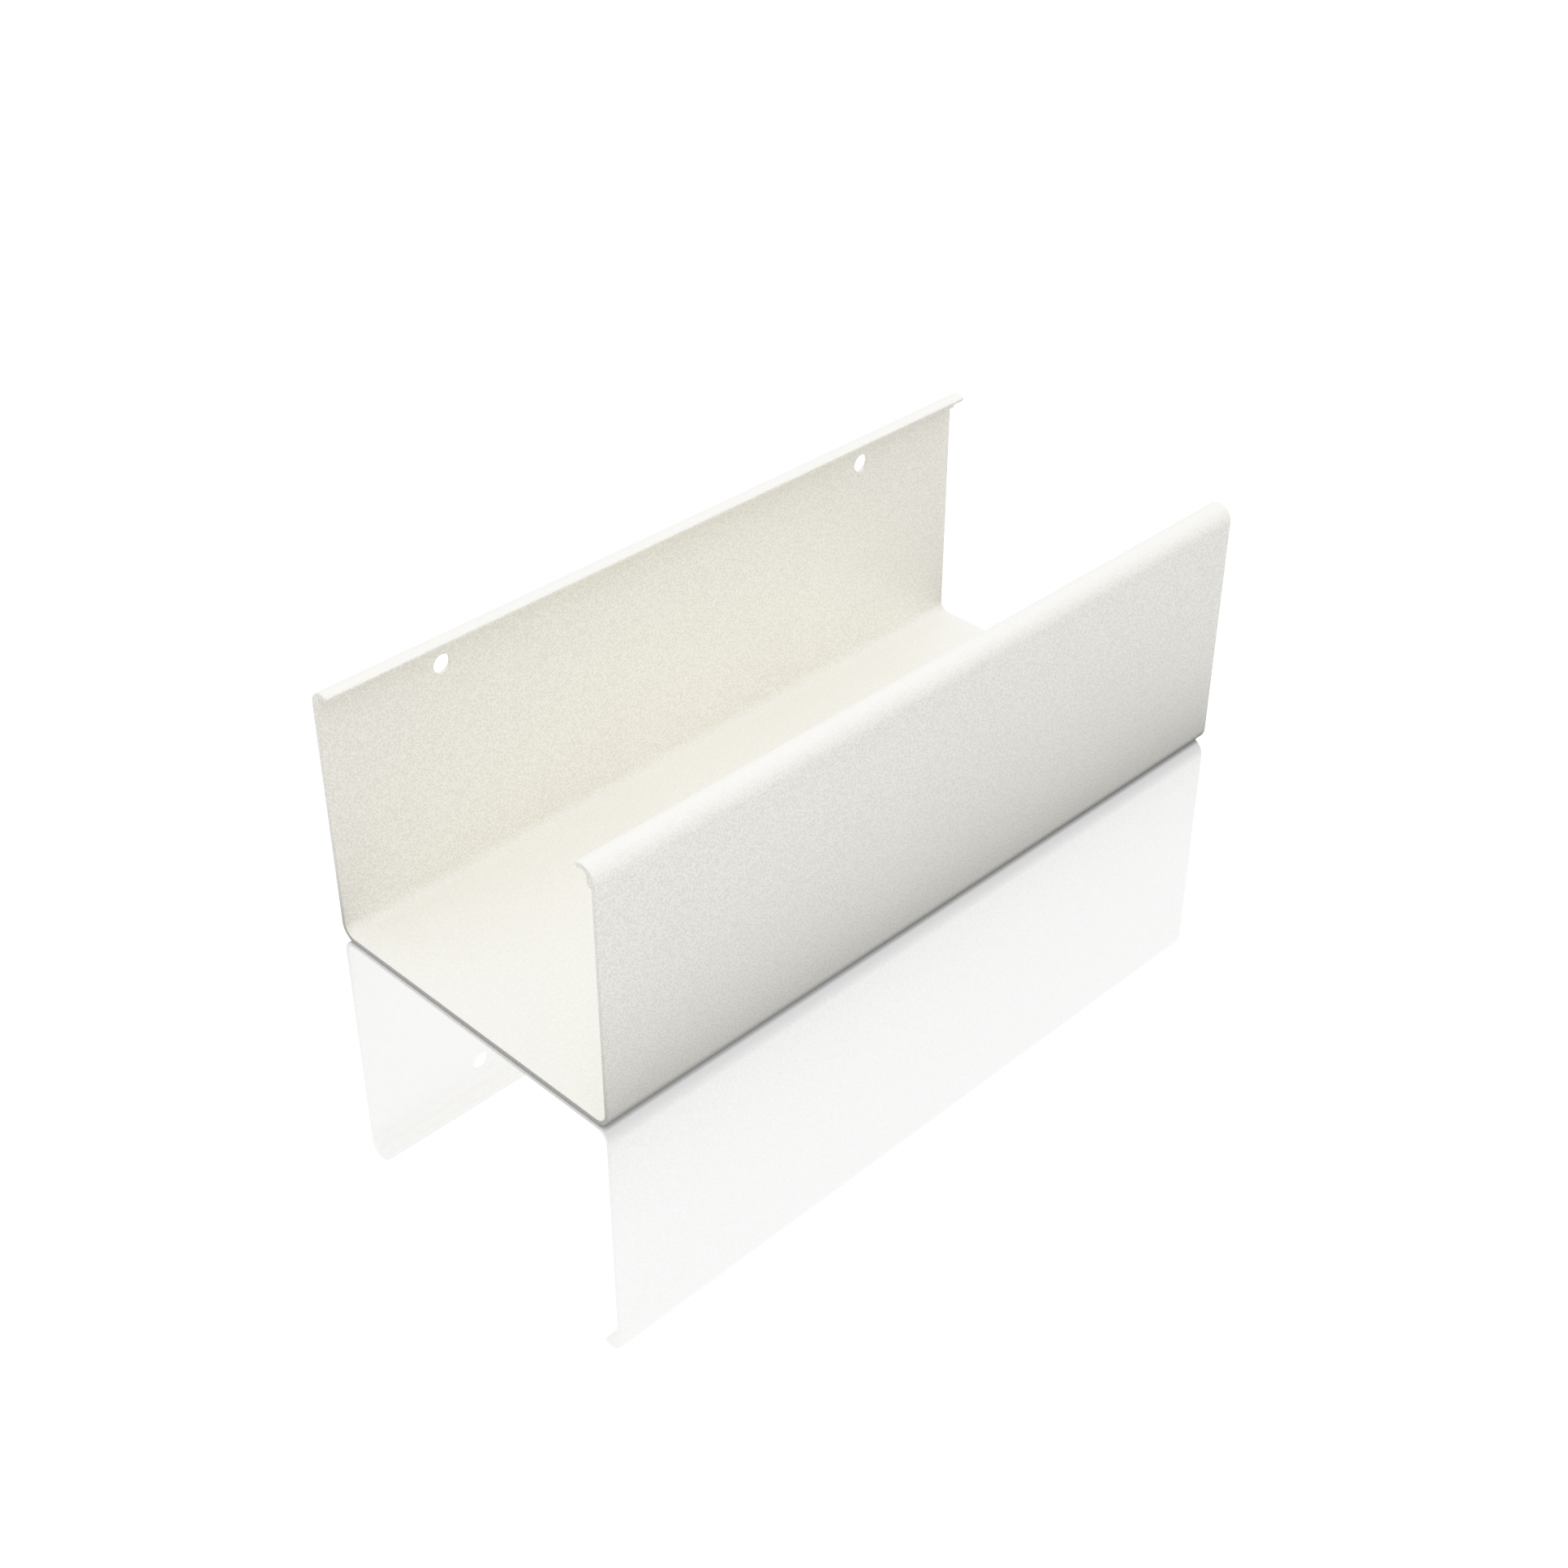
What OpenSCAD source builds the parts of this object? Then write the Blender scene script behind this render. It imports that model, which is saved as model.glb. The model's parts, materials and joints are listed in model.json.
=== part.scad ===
// Open cable tray: one U-shaped profile, cut to length, with a rolled lip along the
// top of each wall and two plain fixing holes in the back wall.
// +X runs along the tray, +Y points to the back wall and +Z points up.
// The origin is at the middle of the underside.

/* [Tray] */
// Length of the tray
tray_l = 300; // [200:10:600]
// Width over the outside of both walls
tray_w = 135; // [80:5:200]
// Height from the underside to the top of the lips
tray_h = 100; // [50:5:150]
// Thickness of the floor
floor_t = 2; // [1.6:0.1:3]
// Thickness of the two walls
wall_t = 1.8; // [1.4:0.1:2.6]
// Outside radius where the floor turns up into a wall
corner_r = 6.2; // [4:0.2:12]

/* [Lips] */
// Outside radius of the lip that curls inward at the top of each wall
lip_r = 5.8; // [5:0.1:8]
// Thickness of the lip
lip_t = 2; // [1.6:0.1:2.6]
// Angle that the lip curls on, past its highest line
lip_past = 30; // [10:2:50]
// Thickness of the wall at the bead, which stiffens it just under the lip
bead_t = 3.8; // [3:0.1:4.4]
// Depth of the bead's inner edge below the top of the lip
bead_drop = 6.3; // [6:0.1:8]
// How much further down the bead's underside meets the wall
bead_slope = 1; // [0.4:0.1:2]

/* [Fixing holes] */
// Diameter of the two fixing holes in the back wall
hole_d = 7; // [4:0.5:9]
// Distance from each end of the tray to the centre of its hole
hole_inset = 50; // [20:5:90]
// Depth of the hole centres below the top of the lip
hole_drop = 13; // [13:0.5:30]

/* [Hidden] */
$fn = 96;

// Inside radius of the two lower corners
inner_r = corner_r - floor_t;
// Radius of the line that runs through the middle of the lip's thickness
lip_mid_r = lip_r - lip_t / 2;
// Angle of the lip's free edge, counted from the inward direction
lip_end = 90 - lip_past;
// Height of the lip's middle line where the bead's inner face meets it
bead_top = sqrt(pow(lip_mid_r, 2) - pow(lip_r - bead_t, 2)) - lip_r;
// Height where the walls stop and the lips begin
wall_top = tray_h - lip_r;
// How far the cutter of a hole stands out on each side of the wall
hole_clear = 2;

// Rectangle of width w that stands on y = 0, with both lower corners rounded
module round_bottomed(w, h, r) {
    translate([-w / 2, r])
        square([w, h - r]);
    translate([-w / 2 + r, 0])
        square([w - 2 * r, r]);
    for (side = [-1, 1])
        translate([side * (w / 2 - r), r])
            circle(r);
}

// The floor and the two walls, as one bent outline
module channel_outline() {
    difference() {
        round_bottomed(tray_w, wall_top, corner_r);
        translate([0, floor_t])
            round_bottomed(tray_w - 2 * wall_t, tray_h, inner_r);
    }
}

// The curled lip at the top of one wall. Here x is the distance inward from the
// wall's outer face, and y is the height above the top of the lip.
module lip_outline() {
    translate([lip_r, -lip_r])
        difference() {
            intersection() {
                circle(lip_r);
                polygon([
                    [0, 0],
                    for (a = [lip_end, 90, 135, 180])
                        2 * lip_r * [cos(a), sin(a)]
                ]);
            }
            circle(lip_r - lip_t);
        }
}

// The bead that thickens the root of the lip, in the same axes as the lip
module bead_outline() {
    polygon([
        [wall_t / 2, -lip_r],
        [wall_t / 2, -bead_drop - bead_slope],
        [wall_t, -bead_drop - bead_slope],
        [bead_t, -bead_drop],
        [bead_t, bead_top]
    ]);
}

// The whole cross-section: x is across the tray and y is up
module tray_outline() {
    channel_outline();
    for (side = [0, 1])
        mirror([side, 0])
            translate([-tray_w / 2, tray_h]) {
                lip_outline();
                bead_outline();
            }
}

// The two round holes through the back wall
module fixing_holes() {
    for (side = [-1, 1])
        translate([
            side * (tray_l / 2 - hole_inset),
            tray_w / 2 + hole_clear,
            tray_h - hole_drop
        ])
            rotate([90, 0, 0])
                cylinder(h = wall_t + 2 * hole_clear, d = hole_d);
}

module tray() {
    color([0.93, 0.92, 0.88])
        difference() {
            rotate([90, 0, 90])
                translate([0, 0, -tray_l / 2])
                    linear_extrude(height = tray_l)
                        tray_outline();
            fixing_holes();
        }
}

tray();
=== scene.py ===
import json
from math import acos, atan2, ceil, cos, pi, radians, sin, tan, tanh

import bpy
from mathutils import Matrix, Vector


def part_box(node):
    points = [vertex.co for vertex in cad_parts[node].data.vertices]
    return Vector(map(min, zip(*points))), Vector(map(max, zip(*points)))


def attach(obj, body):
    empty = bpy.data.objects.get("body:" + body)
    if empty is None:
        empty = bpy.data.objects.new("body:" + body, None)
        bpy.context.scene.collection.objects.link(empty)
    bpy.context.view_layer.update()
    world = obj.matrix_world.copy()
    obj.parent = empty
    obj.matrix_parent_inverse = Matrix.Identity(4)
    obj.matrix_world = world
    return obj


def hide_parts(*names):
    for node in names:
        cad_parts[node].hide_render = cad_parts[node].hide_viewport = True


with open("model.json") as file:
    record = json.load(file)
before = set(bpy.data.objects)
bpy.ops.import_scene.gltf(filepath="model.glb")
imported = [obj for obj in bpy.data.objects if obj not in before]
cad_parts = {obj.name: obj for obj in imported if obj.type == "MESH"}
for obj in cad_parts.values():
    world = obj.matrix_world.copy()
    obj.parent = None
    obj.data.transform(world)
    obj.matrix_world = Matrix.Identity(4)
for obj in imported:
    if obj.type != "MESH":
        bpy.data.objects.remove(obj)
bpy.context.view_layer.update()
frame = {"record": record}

# An open cable tray, cut from one extruded profile and powder coated. The CAD node
# gives its place and overall size; the mesh made here stands for it and adds the
# rounded cut ends, the rounded hole rims and the small radii of the lips and beads.
# Everything is in metres: X along the tray, Y towards the wall with the two holes,
# Z up from the underside.

MM = 0.001
SAME_PLACE = 0.01 * MM      # distances below this count as zero

# ---- The tray's place and size, from the frame ----
TRAY_LOW, TRAY_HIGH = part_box("tray")
HALF_LENGTH = (TRAY_HIGH.x - TRAY_LOW.x) / 2
HALF_WIDTH = (TRAY_HIGH.y - TRAY_LOW.y) / 2
HEIGHT = TRAY_HIGH.z - TRAY_LOW.z
MIDDLE = (TRAY_LOW + TRAY_HIGH) / 2

# ---- The two fixing holes, from the record's mount ----
HOLES = next(m for m in frame["record"]["mounts"] if m["name"] == "fixing_holes")
HOLE_RADIUS = HOLES["dims"]["hole_r_mm"] * MM
HOLE_Z = HOLES["pos_m"][2]
HOLE_XS = [side * HOLES["dims"]["spacing_x_mm"] * MM / 2 for side in (-1, 1)]

# ---- The profile ----
WALL = 1.8 * MM
FLOOR = 2.0 * MM
CORNER_OUTSIDE = 6.2 * MM
CORNER_INSIDE = CORNER_OUTSIDE - FLOOR
LIP_OUTSIDE = 5.8 * MM
LIP_THICKNESS = 2.0 * MM
LIP_INSIDE = LIP_OUTSIDE - LIP_THICKNESS
LIP_PAST = radians(30)      # how far the lip curls on past its highest line
TIP_EDGE = 0.45 * MM        # radius on both corners of the lip's blunt tip
BEAD = 3.8 * MM             # thickness of the wall at the bead
BEAD_DROP = 6.3 * MM        # from the top of the lip to the bead's inner edge
BEAD_SLOPE = 1.0 * MM       # how much lower the bead's underside meets the wall
BEAD_EDGE = 0.5 * MM
BEAD_ROOT = 0.8 * MM        # fillet between the bead and the lip's hollow
BEAD_TOE = 1.0 * MM         # fillet between the bead's underside and the wall
TIP_ROOM = 1.2 * TIP_EDGE   # length that the tip's rounding takes from the lip's arcs
ROOT_ROOM = 0.7 * BEAD_ROOT  # and that the bead's root takes from the inner arc

# ---- Edges and mesh density ----
END_EDGE = 0.3 * MM         # rounding of the cut ends
RIM_EDGE = 0.3 * MM         # rounding of the hole rims
EDGE_STEPS = 4              # faces around each of those roundings
ARC_STEP = radians(6)       # turn of each face around the profile's arcs
FEWEST_STEPS = 4            # on any rounded corner, however small its turn
LONG_STEP = 10 * MM         # longest face along the tray
HOLE_PATCH = 4.8 * MM       # half the side of the square of wall around a hole
HOLE_CELLS = 16             # faces along each side of that square
HOLE_LOOPS = 4              # rings of faces from the square to the rim


# ---------------------------------------------------------------- the profile
def fillet(before, corner, after, radius):
    """The points of an arc that rounds a corner, each with its normal to the right of the path."""
    into = (corner - before).normalized()
    out = (after - corner).normalized()
    turn = acos(max(-1, min(1, into.dot(out))))
    side = 1 if into.cross(out) > 0 else -1
    to_left = Vector((-into.y, into.x))
    start = corner - into * radius * tan(turn / 2)
    centre = start + to_left * radius * side
    steps = max(FEWEST_STEPS, ceil(turn / ARC_STEP))
    arc = []
    for k in range(steps + 1):
        angle = turn * k / steps
        ahead = into * cos(angle) + to_left * sin(angle) * side
        normal = Vector((ahead.y, -ahead.x))
        arc.append((centre + normal * radius * side, normal))
    return arc


def straight(start, end, levels):
    """Extra points on the run from start to end, at the heights in levels, if it is upright."""
    (first, normal), (last, _) = start, end
    if abs(first.x - last.x) > SAME_PLACE:
        return []
    between = [z for z in levels if min(first.y, last.y) < z < max(first.y, last.y)]
    between.sort(reverse=last.y < first.y)
    return [(Vector((first.x, z)), normal) for z in between]


def lip_point(radius, angle):
    """A point around the lip's centre line. The angle is counted from the inward direction,
    and upwards."""
    centre = Vector((HALF_WIDTH - LIP_OUTSIDE, HEIGHT - LIP_OUTSIDE))
    return centre + radius * Vector((-cos(angle), sin(angle)))


def tangent_corner(radius, first, second):
    """Where the tangents to a lip circle at two angles cross."""
    return lip_point(radius / cos((second - first) / 2), (first + second) / 2)


def half_outline(levels):
    """The right half of the cross-section as (point, normal) pairs. It runs outwards along the
    underside, up the outer face, over the lip and down the inner face to the floor. Each lip
    arc is one corner, where its end tangents cross, and stops short to leave room for the
    small roundings beside it."""
    tip = pi / 2 - LIP_PAST
    outer_end = tip + TIP_ROOM / LIP_OUTSIDE
    inner_end = tip + TIP_ROOM / LIP_INSIDE
    bead_face = HALF_WIDTH - BEAD
    inner_face = HALF_WIDTH - WALL
    # The lip's hollow ends at the angle root, and its tangent there meets the bead's face at root_z.
    root = acos((BEAD - LIP_OUTSIDE) / LIP_INSIDE) - ROOT_ROOM / LIP_INSIDE
    across = LIP_INSIDE + (BEAD - LIP_OUTSIDE) * -cos(root)
    root_z = HEIGHT - LIP_OUTSIDE + across / sin(root)
    corners = [
        (Vector((0, 0)), 0),
        (Vector((HALF_WIDTH, 0)), CORNER_OUTSIDE),
        (tangent_corner(LIP_OUTSIDE, outer_end, pi), LIP_OUTSIDE),
        (lip_point(LIP_OUTSIDE / cos(outer_end - tip), tip), TIP_EDGE),
        (lip_point(LIP_INSIDE / cos(inner_end - tip), tip), TIP_EDGE),
        (tangent_corner(LIP_INSIDE, inner_end, root), LIP_INSIDE),
        (Vector((bead_face, root_z)), BEAD_ROOT),
        (Vector((bead_face, HEIGHT - BEAD_DROP)), BEAD_EDGE),
        (Vector((inner_face, HEIGHT - BEAD_DROP - BEAD_SLOPE)), BEAD_TOE),
        (Vector((inner_face, FLOOR)), CORNER_INSIDE),
        (Vector((0, FLOOR)), 0),
    ]
    outline = []
    for (before, _), (corner, radius), (after, _) in zip(corners, corners[1:], corners[2:]):
        arc = fillet(before, corner, after, radius)
        if outline:
            outline += straight(outline[-1], arc[0], levels)
        outline += arc
    return outline


def whole_outline(levels):
    """The closed cross-section, from the right half and its mirror image."""
    right = half_outline(levels)
    left = [(Vector((-p.x, p.y)), Vector((-n.x, n.y))) for p, n in reversed(right)]
    return right + left


# ------------------------------------------------------------------- the mesh
class Skin:
    """Vertices with exact normals, and faces that are wound to agree with them."""

    def __init__(self):
        self.points, self.normals, self.faces = [], [], []

    def vertex(self, point, normal):
        self.points.append(Vector(point))
        self.normals.append(Vector(normal).normalized())
        return len(self.points) - 1

    def face(self, *corners):
        """One face, turned so that its front is on the side of its corners' normals."""
        ring = [self.points[c] for c in corners]
        area = sum((a.cross(b) for a, b in zip(ring, ring[1:] + ring[:1])), Vector())
        outward = sum((self.normals[c] for c in corners), Vector())
        self.faces.append(corners if area.dot(outward) > 0 else corners[::-1])

    def strip(self, first, second):
        """Quads between two closed rows of vertices of the same count."""
        for k in range(len(first)):
            after = (k + 1) % len(first)
            self.face(first[k], first[after], second[after], second[k])

    def object(self, name, material):
        mesh = bpy.data.meshes.new(name)
        mesh.from_pydata(self.points, [], self.faces)
        mesh.shade_smooth()
        mesh.normals_split_custom_set_from_vertices(self.normals)
        mesh.materials.append(material)
        made = bpy.data.objects.new(name, mesh)
        bpy.context.scene.collection.objects.link(made)
        return made


def patch_lines(middle):
    """The mesh lines across the square of wall around a hole."""
    return [middle + HOLE_PATCH * (2 * k / HOLE_CELLS - 1) for k in range(HOLE_CELLS + 1)]


def stations():
    """Places along X as (x, inset, lean): how far the profile is drawn in there by the rounding
    of the cut end, and the angle by which its normals lean out of that end."""
    bends = [pi / 2 * k / EDGE_STEPS for k in range(EDGE_STEPS + 1)]
    end = [(HALF_LENGTH - END_EDGE * (1 - sin(a)), END_EDGE * (1 - cos(a)), a) for a in bends]
    marks = [-end[0][0], *patch_lines(HOLE_XS[0]), *patch_lines(HOLE_XS[1]), end[0][0]]
    inner = []
    for a, b in zip(marks, marks[1:]):
        steps = max(1, ceil((b - a) / LONG_STEP))
        inner += [(a + (b - a) * k / steps, 0, 0) for k in range(steps)]
    return [(-x, inset, -a) for x, inset, a in reversed(end[1:])] + inner + end


def in_patch(point):
    """True for a place on the back wall inside the square around a hole."""
    beside = min(abs(point.x - x) for x in HOLE_XS)
    return point.y > 0 and max(beside, abs(point.z - HOLE_Z)) < HOLE_PATCH


def add_profile(skin):
    """The profile along the whole tray, with open squares where the holes go."""
    outline = whole_outline(patch_lines(HOLE_Z))
    rings = []
    for x, inset, lean in stations():
        ring = []
        for p, n in outline:
            q = p - n * inset
            normal = (sin(lean), n.x * cos(lean), n.y * cos(lean))
            ring.append(skin.vertex((x, q.x, q.y), normal))
        rings.append(ring)
    for first, second in zip(rings, rings[1:]):
        for k in range(len(outline)):
            after = (k + 1) % len(outline)
            corners = (first[k], first[after], second[after], second[k])
            middle = sum((skin.points[c] for c in corners), Vector()) / 4
            if not in_patch(middle):
                skin.face(*corners)
    skin.face(*rings[0])
    skin.face(*rings[-1])


def add_hole(skin, x):
    """A round hole in its square of wall, with rounded rims and a plain bore."""
    def square(y):
        """The vertices around the open square at that Y, in order."""
        edge = [
            i for i, p in enumerate(skin.points)
            if abs(p.y - y) < SAME_PLACE
            and abs(max(abs(p.x - x), abs(p.z - HOLE_Z)) - HOLE_PATCH) < SAME_PLACE
        ]
        return sorted(edge, key=lambda i: atan2(skin.points[i].z - HOLE_Z, skin.points[i].x - x))

    bores = []
    for y, side in ((HALF_WIDTH, 1), (HALF_WIDTH - WALL, -1)):
        row = square(y)
        middle = Vector((x, y, HOLE_Z))
        face_normal = Vector((0, side, 0))
        rays = [(skin.points[i] - middle).normalized() for i in row]
        corners = [skin.points[i] for i in row]
        for k in range(1, HOLE_LOOPS + 1):
            share = k / HOLE_LOOPS
            loop = []
            for ray, corner in zip(rays, corners):
                rim = middle + ray * (HOLE_RADIUS + RIM_EDGE)
                loop.append(skin.vertex(corner.lerp(rim, share), face_normal))
            skin.strip(row, loop)
            row = loop
        for k in range(1, EDGE_STEPS + 1):
            bend = pi / 2 * k / EDGE_STEPS
            radius = HOLE_RADIUS + RIM_EDGE * (1 - sin(bend))
            depth = face_normal * RIM_EDGE * (1 - cos(bend))
            loop = [
                skin.vertex(middle + ray * radius - depth, face_normal * cos(bend) - ray * sin(bend))
                for ray in rays
            ]
            skin.strip(row, loop)
            row = loop
        bores.append(row)
    skin.strip(*bores)


def build_tray(material):
    """The whole tray as one piece, in place of the CAD node."""
    skin = Skin()
    add_profile(skin)
    for x in HOLE_XS:
        add_hole(skin, x)
    tray = skin.object("tray_profile", material)
    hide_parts("tray")
    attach(tray, "root")


# ------------------------------------------------------------------ materials
class Nodes:
    """A short way to write a node tree: add makes a node, sets its properties from settings,
    and sets or links its inputs, by name, or as _0 and _1 by their place in the list."""

    def __init__(self, owner):
        owner.use_nodes = True
        self.tree = owner.node_tree
        self.tree.nodes.clear()

    def add(self, kind, settings=(), **inputs):
        node = self.tree.nodes.new("ShaderNode" + kind)
        for name, value in dict(settings).items():
            setattr(node, name, value)
        for name, value in inputs.items():
            socket = node.inputs[int(name[1:]) if name[1:].isdigit() else name.replace("_", " ")]
            if isinstance(value, bpy.types.NodeSocket):
                self.tree.links.new(value, socket)
            else:
                socket.default_value = value
        return node


COAT_COLOUR = (0.927, 0.913, 0.860)
GRAIN_TURN = (0.6, 0.8, 0.4)  # turns the noise, so that its cells don't line up with the faces
GRAIN_SCALE = 1450.0        # cells per metre of the cured powder's grain
PEEL_SCALE = 450.0          # of the faint orange peel
CLOUD_SCALE = 22.0          # and of the drift in tone over the whole tray
SPECK_RANGE = (0.45, 0.55)  # noise values of the darkest and the palest specks
FLECK_UPRIGHT = 0.07        # how far the specks change the colour on an upright face
FLECK_LEVEL = 0.03          # and on a face that points up
DRIFT = 0.007               # how far the tone drifts up and down
GRAIN_ROUGHNESS = (0.56, 0.42)  # in the grain's pits and on its tops
PEEL_HEIGHT = 0.02 * MM
PEEL_STRENGTH = 0.6
GRAIN_HEIGHT = 0.05 * MM
GRAIN_STRENGTH = 1.0


def powder_coat():
    """Warm off-white powder coat: fine cured grain over a faint orange peel."""
    material = bpy.data.materials.new("powder_coat_cream")
    n = Nodes(material)
    at = n.add("TexCoord").outputs
    place = n.add("Mapping", Vector=at["Object"], Rotation=GRAIN_TURN).outputs[0]
    grain = n.add("TexNoise", Vector=place, Scale=GRAIN_SCALE, Detail=2.0, Roughness=0.6)
    peel = n.add("TexNoise", Vector=place, Scale=PEEL_SCALE, Detail=1.0, Roughness=0.5)
    cloud = n.add("TexNoise", Vector=place, Scale=CLOUD_SCALE, Detail=2.0, Roughness=0.5)

    # The powder levels out more on faces that point up, so its flecks are fainter there.
    upward = n.add("SeparateXYZ", Vector=at["Normal"]).outputs["Z"]
    depth = n.add("MapRange", Value=upward, From_Min=0.0, From_Max=1.0,
                  To_Min=FLECK_UPRIGHT, To_Max=FLECK_LEVEL)
    speck = n.add("MapRange", Value=grain.outputs["Fac"],
                  From_Min=SPECK_RANGE[0], From_Max=SPECK_RANGE[1], To_Min=-1.0, To_Max=1.0)
    fleck = n.add("Math", {"operation": "MULTIPLY"}, _0=speck.outputs[0], _1=depth.outputs[0])
    drift = n.add("MapRange", Value=cloud.outputs["Fac"], From_Min=0.3, From_Max=0.7,
                  To_Min=1 - DRIFT, To_Max=1 + DRIFT)
    tone = n.add("Math", {"operation": "ADD"}, _0=fleck.outputs[0], _1=drift.outputs[0])
    colour = n.add("VectorMath", {"operation": "SCALE"}, _0=COAT_COLOUR, Scale=tone.outputs[0])

    # The pale flecks are also the smooth tops of the grain, and shine a little more.
    shine = n.add("MapRange", Value=fleck.outputs[0], From_Min=-FLECK_UPRIGHT,
                  From_Max=FLECK_UPRIGHT, To_Min=0.0, To_Max=1.0)
    rough = n.add("MapRange", Value=speck.outputs[0], From_Min=-1.0, From_Max=1.0,
                  To_Min=GRAIN_ROUGHNESS[0], To_Max=GRAIN_ROUGHNESS[1])

    wave = n.add("Bump", Strength=PEEL_STRENGTH, Distance=PEEL_HEIGHT,
                 Height=peel.outputs["Fac"])
    pit = n.add("Bump", Strength=GRAIN_STRENGTH, Distance=GRAIN_HEIGHT,
                Height=grain.outputs["Fac"], Normal=wave.outputs[0])

    coat = n.add("BsdfPrincipled", Base_Color=colour.outputs[0], Roughness=rough.outputs[0],
                 Specular_IOR_Level=shine.outputs[0], Normal=pit.outputs[0])
    n.add("OutputMaterial", Surface=coat.outputs[0])
    return material


# ---------------------------------------------------------------------- stage
FLOOR_RADIUS = 4.0
FLOOR_SIDES = 64
FLOOR_MIRROR = 0.55         # share of the floor's look that mirrors the tray
FLOOR_WHITE = 1.29          # brightness of the rest of it, before the tone curve
MIRROR_TINT = (0.96, 0.97, 1.0)  # slightly cool, which takes the coat's warmth out of its reflection
FOOT_SHADE_REACH = 2.0 * MM  # how far from the tray's foot the floor looks darker
FOOT_SHADE_SAMPLES = 4
FLOOR_GAP = 0.05 * MM       # under the tray, so that the two faces don't coincide
FLOOR_LIGHT = 0.93          # light that the open floor gives to the tray
FLOOR_LEAN = 0.13           # how much more it gives towards the -X end
LEAN_REACH = 400 * MM       # where that lean stops growing
CONTACT_SHADE = 0.44        # what the tray's contact shadow takes away close to its foot
CONTACT_REACH = 50 * MM     # and how far from the foot that goes
WIDE_SHADE = 0.39           # what its wide, faint shadow takes away further out
WIDE_REACH = 120 * MM       # with its own reach


def floor_material():
    """White and slightly mirroring to the camera. To the tray it gives a soft light that is
    weaker close to its foot, as a real floor's is in the contact shadow."""
    material = bpy.data.materials.new("studio_floor")
    n = Nodes(material)
    open_sky = n.add("AmbientOcclusion", {"samples": FOOT_SHADE_SAMPLES}, Distance=FOOT_SHADE_REACH)
    paleness = n.add("Math", {"operation": "MULTIPLY"}, _0=open_sky.outputs["AO"], _1=FLOOR_WHITE)
    white = n.add("Emission", Color=(1, 1, 1, 1), Strength=paleness.outputs[0])
    mirror = n.add("BsdfGlossy", Color=(*MIRROR_TINT, 1), Roughness=0.0)
    look = n.add("MixShader", _0=FLOOR_MIRROR, _1=white.outputs[0], _2=mirror.outputs[0])

    place = n.add("TexCoord").outputs["Object"]
    mirrored = n.add("VectorMath", {"operation": "ABSOLUTE"}, _0=place)
    beyond = n.add("VectorMath", {"operation": "SUBTRACT"}, _0=mirrored.outputs[0],
                   _1=(HALF_LENGTH, HALF_WIDTH, 0))
    outside = n.add("VectorMath", {"operation": "MAXIMUM"}, _0=beyond.outputs[0], _1=(0, 0, 0))
    away = n.add("VectorMath", {"operation": "LENGTH"}, _0=outside.outputs[0])
    along = n.add("SeparateXYZ", Vector=place).outputs["X"]
    glow = n.add("MapRange", Value=along, From_Min=-LEAN_REACH, From_Max=LEAN_REACH,
                 To_Min=FLOOR_LIGHT + FLOOR_LEAN, To_Max=FLOOR_LIGHT - FLOOR_LEAN)
    for shade, reach in ((CONTACT_SHADE, CONTACT_REACH), (WIDE_SHADE, WIDE_REACH)):
        shadow = n.add("MapRange", {"interpolation_type": "SMOOTHSTEP"}, Value=away.outputs["Value"],
                       From_Min=0.0, From_Max=reach, To_Min=shade, To_Max=0.0)
        glow = n.add("Math", {"operation": "SUBTRACT"}, _0=glow.outputs[0], _1=shadow.outputs[0])
    light = n.add("Emission", Color=(1, 1, 1, 1), Strength=glow.outputs[0])

    seen = n.add("LightPath").outputs["Is Camera Ray"]
    both = n.add("MixShader", _0=seen, _1=light.outputs[0], _2=look.outputs[0])
    n.add("OutputMaterial", Surface=both.outputs[0])
    return material


def build_floor():
    """A wide round floor under the tray."""
    rim = [2 * pi * k / FLOOR_SIDES for k in range(FLOOR_SIDES)]
    mesh = bpy.data.meshes.new("floor")
    mesh.from_pydata([(FLOOR_RADIUS * cos(a), FLOOR_RADIUS * sin(a), 0) for a in rim], [],
                     [range(FLOOR_SIDES)])
    mesh.materials.append(floor_material())
    floor = bpy.data.objects.new("floor", mesh)
    floor.location.z = TRAY_LOW.z - FLOOR_GAP
    bpy.context.scene.collection.objects.link(floor)


# ---------------------------------------------------------------------- light
DOME_LEVEL = 0.31           # light from the horizon
DOME_UP = 1.21              # how much brighter it is overhead
DOME_RIGHT = 0.23           # and from the +X end
BACKDROP = 1.8              # what the camera and the floor's mirror see instead of the dome
BOUNCES = 12                # enough for the light that goes back and forth between the walls


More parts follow.
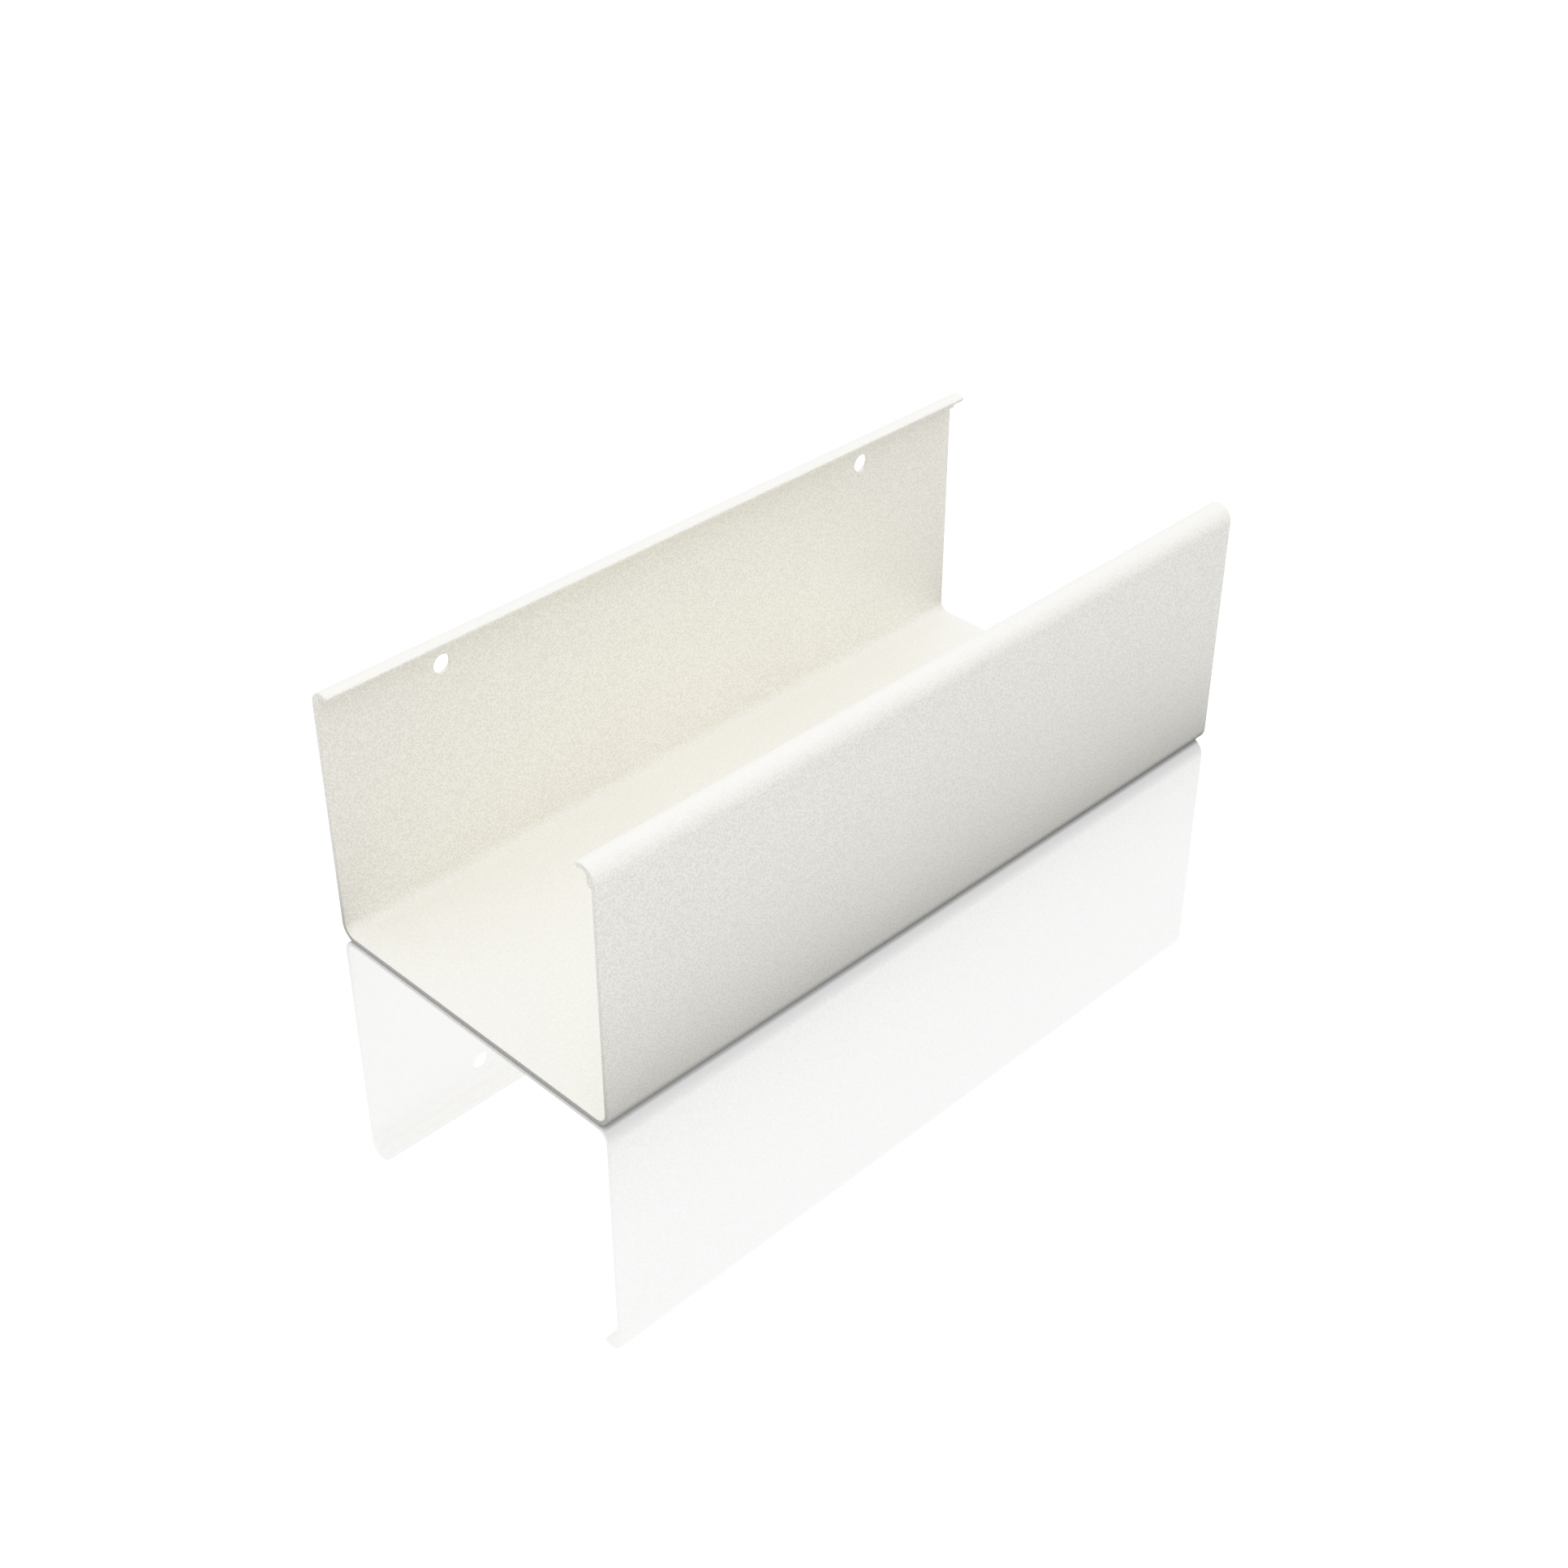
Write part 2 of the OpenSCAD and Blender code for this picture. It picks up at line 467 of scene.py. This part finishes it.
def build_world():
    """A soft white studio: pure white to the camera, and a gentle gradient as a light."""
    world = bpy.data.worlds.new("studio")
    bpy.context.scene.world = world
    n = Nodes(world)
    direction = n.add("TexCoord").outputs["Generated"]
    lean = n.add("VectorMath", {"operation": "DOT_PRODUCT"}, _0=direction,
                 _1=(DOME_RIGHT, 0, DOME_UP))
    level = n.add("Math", {"operation": "ADD"}, _0=lean.outputs["Value"], _1=DOME_LEVEL)
    dome = n.add("Background", Color=(1, 1, 1, 1), Strength=level.outputs[0])
    white = n.add("Background", Color=(1, 1, 1, 1), Strength=BACKDROP)
    path = n.add("LightPath")
    plain = n.add("Math", {"operation": "MAXIMUM"}, _0=path.outputs["Is Camera Ray"],
                  _1=path.outputs["Is Singular Ray"])
    both = n.add("MixShader", _0=plain.outputs[0], _1=dome.outputs[0], _2=white.outputs[0])
    n.add("OutputWorld", Surface=both.outputs[0])


# --------------------------------------------------------------------- camera
CAMERA_LENS = 54.11         # the lens and the sensor, in millimetres
CAMERA_SENSOR = 36.0
CAMERA_DISTANCE = 0.8154    # from the point that it aims at
CAMERA_AIM = MIDDLE + Vector((-13.0, -5.9, -18.9)) * MM
CAMERA_BACK = Vector((-1, -1, 1)).normalized()  # from that point to the camera


def build_camera():
    """The camera, at the photo's angle."""
    data = bpy.data.cameras.new("camera")
    data.lens = CAMERA_LENS
    data.sensor_width = CAMERA_SENSOR
    data.clip_start = 0.01
    data.clip_end = 50.0
    camera = bpy.data.objects.new("camera", data)
    camera.location = CAMERA_AIM + CAMERA_BACK * CAMERA_DISTANCE
    camera.rotation_euler = (-CAMERA_BACK).to_track_quat("-Z", "Y").to_euler()
    bpy.context.scene.collection.objects.link(camera)
    bpy.context.scene.camera = camera


# ----------------------------------------------------------------- tone curve
SHOULDER = 0.75             # brightness above which highlights are rolled off
CURVE_END = 2.0             # brightness at the curve's end, which comes out as pure white
CURVE_LIGHTS = (0.35, 0.70, 0.80, 0.90, 1.0, 1.1, 1.25, 1.45, 1.7)  # where it has its points


def rolled_off(light):
    """The picture's brightness for an amount of light."""
    if light < SHOULDER:
        return light
    room = 1 - SHOULDER
    return SHOULDER + room * tanh((light - SHOULDER) / room)


def soften_highlights():
    """A plain sRGB view with a soft shoulder, as a photo's highlights have."""
    view = bpy.context.scene.view_settings
    view.view_transform = "Standard"
    view.use_curve_mapping = True
    mapping = view.curve_mapping
    mapping.white_level = (CURVE_END, CURVE_END, CURVE_END)
    points = mapping.curves[3].points
    points[0].location = (0, 0)
    points[1].location = (1, 1)
    points[0].handle_type = "VECTOR"
    for light in CURVE_LIGHTS:
        points.new(light / CURVE_END, rolled_off(light))
    mapping.update()


soften_highlights()
bpy.context.scene.cycles.diffuse_bounces = BOUNCES
build_tray(powder_coat())
build_floor()
build_world()
build_camera()
